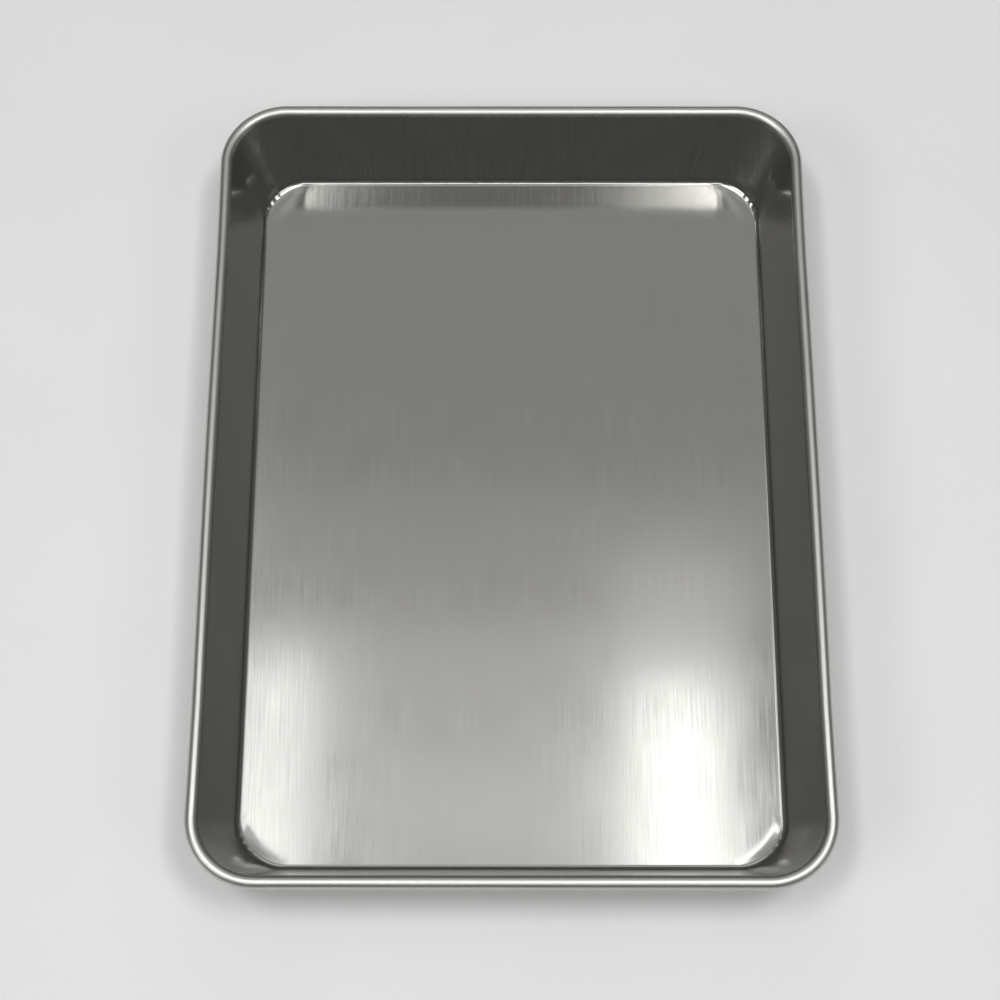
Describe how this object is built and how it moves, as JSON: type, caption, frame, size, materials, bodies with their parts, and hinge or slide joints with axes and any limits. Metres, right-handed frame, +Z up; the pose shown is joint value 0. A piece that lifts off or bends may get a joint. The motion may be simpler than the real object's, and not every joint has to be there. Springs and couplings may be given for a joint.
{
  "type": "developing tray",
  "caption": "Rectangular stainless-steel darkroom tray, deep-drawn from sheet with leaning walls, round corners, a flat floor and a rolled rim stiffened by a wire.",
  "frame": {"origin": "on the surface that the tray stands on, under the middle of the tray", "axes": "+X across the tray, +Y along its long side, +Z up out of the tray"},
  "size_m": [0.23, 0.312, 0.04],
  "materials": {
    "pan_steel": "bright rolled stainless sheet with a fine lengthwise grain on the floor, smoother on the drawn walls and rim",
    "wire_steel": "plain drawn stainless wire"
  },
  "bodies": {
    "root": {"tray_pan": "pan_steel", "rim_wire": "wire_steel"}
  },
  "joints": []
}
